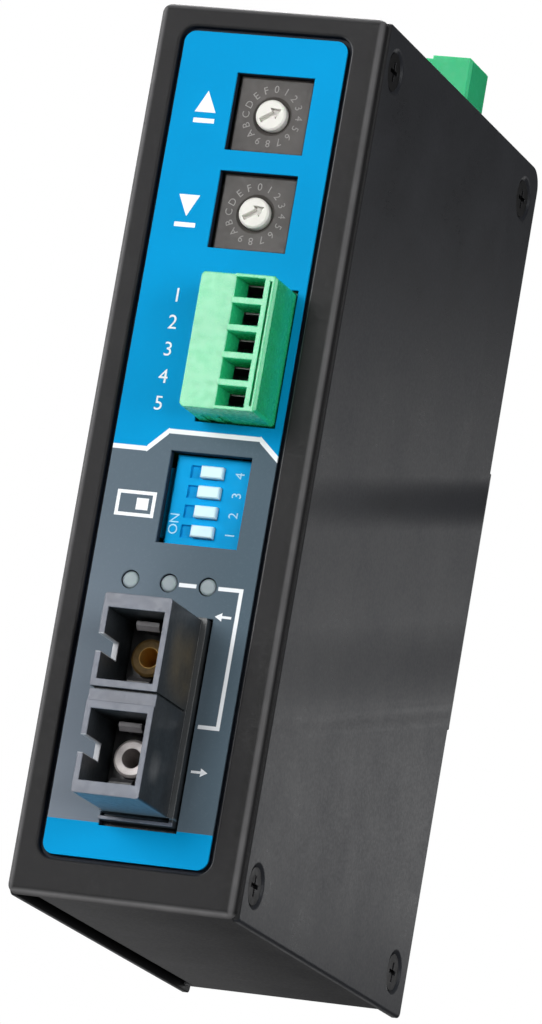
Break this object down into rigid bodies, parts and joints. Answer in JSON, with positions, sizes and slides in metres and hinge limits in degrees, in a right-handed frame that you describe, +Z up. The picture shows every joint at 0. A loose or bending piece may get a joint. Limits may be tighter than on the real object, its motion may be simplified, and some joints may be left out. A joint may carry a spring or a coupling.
{
  "type": "serial to fibre converter",
  "caption": "Slim upright metal-cased converter for a top-hat rail, with green plug-in serial and power terminals, rotary and slide switches and a two-port fibre transceiver on the front.",
  "frame": {"origin": "centre of the seat on the rail plate, in the plane where the rail's flanges bear", "axes": "+Z up the case, +Y out of the back towards the rail, +X to the right seen from the front"},
  "size_m": [0.0304, 0.0891, 0.1245],
  "materials": {
    "case_paint": "satin black powder coat",
    "bezel_paint": "dark grey satin powder coat",
    "label": "printed film",
    "rail_metal": "black anodised",
    "steel": "zinc plated",
    "black_steel": "blackened",
    "board": "green solder mask",
    "black_plastic": "moulded",
    "grey_plastic": "moulded",
    "blue_plastic": "moulded",
    "white_plastic": "moulded",
    "green_plastic": "moulded",
    "contact_metal": "tin plated",
    "amber_plastic": "moulded",
    "sleeve_metal": "ground",
    "clear_plastic": "milky, moulded"
  },
  "bodies": {
    "case": {"board_link_pins": "black_plastic", "board_link_socket": "black_plastic", "board_screws": "steel", "board_spacers": "steel", "chassis": "bezel_paint", "cover_screws": "black_steel", "fibre_housing": "black_plastic", "fibre_latches": "grey_plastic", "fibre_pins": "contact_metal", "fibre_sleeve_lower": "sleeve_metal", "fibre_sleeve_upper": "amber_plastic", "front_label": "label", "front_panel": "bezel_paint", "interface_chips": "black_plastic", "lamp_board": "board", "left_cover": "case_paint", "light_guide": "clear_plastic", "main_board": "board", "mode_switch_body": "blue_plastic", "power_board": "board", "power_board_screws": "steel", "power_capacitors": "black_plastic", "power_header": "green_plastic", "power_header_pins": "contact_metal", "power_transformer": "black_plastic", "processor_chip": "black_plastic", "rail_plate": "rail_metal", "rail_plate_screws": "steel", "right_cover": "case_paint", "rotary_switch_lower": "grey_plastic", "rotary_switch_upper": "grey_plastic", "serial_header": "green_plastic", "serial_header_pins": "contact_metal", "status_lamps": "white_plastic"},
    "rotary_dial_upper": {"rotary_dial_upper": "white_plastic"},
    "rotary_dial_lower": {"rotary_dial_lower": "white_plastic"},
    "mode_slider_1": {"mode_slider_1": "white_plastic"},
    "mode_slider_2": {"mode_slider_2": "white_plastic"},
    "mode_slider_3": {"mode_slider_3": "white_plastic"},
    "mode_slider_4": {"mode_slider_4": "white_plastic"},
    "serial_plug": {"serial_plug": "green_plastic", "serial_plug_contacts": "contact_metal"},
    "power_plug": {"power_plug": "green_plastic", "power_plug_contacts": "contact_metal"},
    "serial_screw_1": {"serial_screw_1": "steel"},
    "serial_clamp_1": {"serial_clamp_1": "steel"},
    "serial_screw_2": {"serial_screw_2": "steel"},
    "serial_clamp_2": {"serial_clamp_2": "steel"},
    "serial_screw_3": {"serial_screw_3": "steel"},
    "serial_clamp_3": {"serial_clamp_3": "steel"},
    "serial_screw_4": {"serial_screw_4": "steel"},
    "serial_clamp_4": {"serial_clamp_4": "steel"},
    "serial_screw_5": {"serial_screw_5": "steel"},
    "serial_clamp_5": {"serial_clamp_5": "steel"},
    "power_screw_1": {"power_screw_1": "steel"},
    "power_clamp_1": {"power_clamp_1": "steel"},
    "power_screw_2": {"power_screw_2": "steel"},
    "power_clamp_2": {"power_clamp_2": "steel"},
    "rail_spring": {"rail_spring": "steel"}
  },
  "joints": [
    {"name": "upper_dial_turn", "type": "hinge", "parent": "case", "child": "rotary_dial_upper", "pos_m": [0.00165, -0.0723, 0.04405], "axis": [0, -1, 0], "continuous": true},
    {"name": "lower_dial_turn", "type": "hinge", "parent": "case", "child": "rotary_dial_lower", "pos_m": [0.00165, -0.0723, 0.0313], "axis": [0, -1, 0], "continuous": true},
    {"name": "mode_slide_1", "type": "slide", "parent": "case", "child": "mode_slider_1", "axis": [-1, 0, 0], "range_m": [0, 0.0015]},
    {"name": "mode_slide_2", "type": "slide", "parent": "case", "child": "mode_slider_2", "axis": [-1, 0, 0], "range_m": [0, 0.0015]},
    {"name": "mode_slide_3", "type": "slide", "parent": "case", "child": "mode_slider_3", "axis": [-1, 0, 0], "range_m": [0, 0.0015]},
    {"name": "mode_slide_4", "type": "slide", "parent": "case", "child": "mode_slider_4", "axis": [-1, 0, 0], "range_m": [0, 0.0015]},
    {"name": "serial_plug_pull", "type": "slide", "parent": "case", "child": "serial_plug", "axis": [0, -1, 0], "range_m": [0, 0.012]},
    {"name": "power_plug_pull", "type": "slide", "parent": "case", "child": "power_plug", "axis": [0, 0, 1], "range_m": [0, 0.012]},
    {"name": "serial_screw_1_turn", "type": "hinge", "parent": "serial_plug", "child": "serial_screw_1", "pos_m": [0.0012, -0.075, 0.01982], "axis": [1, 0, 0], "range_deg": [0, 1171.2]},
    {"name": "serial_clamp_1_rise", "type": "slide", "parent": "serial_plug", "child": "serial_clamp_1", "axis": [-1, 0, 0], "range_m": [0, 0.0013]},
    {"name": "serial_screw_2_turn", "type": "hinge", "parent": "serial_plug", "child": "serial_screw_2", "pos_m": [0.0012, -0.075, 0.01632], "axis": [1, 0, 0], "range_deg": [0, 1171.2]},
    {"name": "serial_clamp_2_rise", "type": "slide", "parent": "serial_plug", "child": "serial_clamp_2", "axis": [-1, 0, 0], "range_m": [0, 0.0013]},
    {"name": "serial_screw_3_turn", "type": "hinge", "parent": "serial_plug", "child": "serial_screw_3", "pos_m": [0.0012, -0.075, 0.01282], "axis": [1, 0, 0], "range_deg": [0, 1171.2]},
    {"name": "serial_clamp_3_rise", "type": "slide", "parent": "serial_plug", "child": "serial_clamp_3", "axis": [-1, 0, 0], "range_m": [0, 0.0013]},
    {"name": "serial_screw_4_turn", "type": "hinge", "parent": "serial_plug", "child": "serial_screw_4", "pos_m": [0.0012, -0.075, 0.00932], "axis": [1, 0, 0], "range_deg": [0, 1171.2]},
    {"name": "serial_clamp_4_rise", "type": "slide", "parent": "serial_plug", "child": "serial_clamp_4", "axis": [-1, 0, 0], "range_m": [0, 0.0013]},
    {"name": "serial_screw_5_turn", "type": "hinge", "parent": "serial_plug", "child": "serial_screw_5", "pos_m": [0.0012, -0.075, 0.00582], "axis": [1, 0, 0], "range_deg": [0, 1171.2]},
    {"name": "serial_clamp_5_rise", "type": "slide", "parent": "serial_plug", "child": "serial_clamp_5", "axis": [-1, 0, 0], "range_m": [0, 0.0013]},
    {"name": "power_screw_1_turn", "type": "hinge", "parent": "power_plug", "child": "power_screw_1", "pos_m": [0.0012, -0.02181, 0.0601], "axis": [1, 0, 0], "range_deg": [0, 1171.2]},
    {"name": "power_clamp_1_rise", "type": "slide", "parent": "power_plug", "child": "power_clamp_1", "axis": [-1, 0, 0], "range_m": [0, 0.0013]},
    {"name": "power_screw_2_turn", "type": "hinge", "parent": "power_plug", "child": "power_screw_2", "pos_m": [0.0012, -0.018, 0.0601], "axis": [1, 0, 0], "range_deg": [0, 1171.2]},
    {"name": "power_clamp_2_rise", "type": "slide", "parent": "power_plug", "child": "power_clamp_2", "axis": [-1, 0, 0], "range_m": [0, 0.0013]},
    {"name": "rail_spring_press", "type": "slide", "parent": "case", "child": "rail_spring", "axis": [0, 0, 1], "range_m": [0, 0.0017], "stiffness_N_per_m": 1500}
  ],
  "couplings": [
    {"joint": "serial_screw_1_turn", "follows": "serial_clamp_1_rise", "rad_per_m": 15708},
    {"joint": "serial_screw_2_turn", "follows": "serial_clamp_2_rise", "rad_per_m": 15708},
    {"joint": "serial_screw_3_turn", "follows": "serial_clamp_3_rise", "rad_per_m": 15708},
    {"joint": "serial_screw_4_turn", "follows": "serial_clamp_4_rise", "rad_per_m": 15708},
    {"joint": "serial_screw_5_turn", "follows": "serial_clamp_5_rise", "rad_per_m": 15708},
    {"joint": "power_screw_1_turn", "follows": "power_clamp_1_rise", "rad_per_m": 15708},
    {"joint": "power_screw_2_turn", "follows": "power_clamp_2_rise", "rad_per_m": 15708}
  ]
}
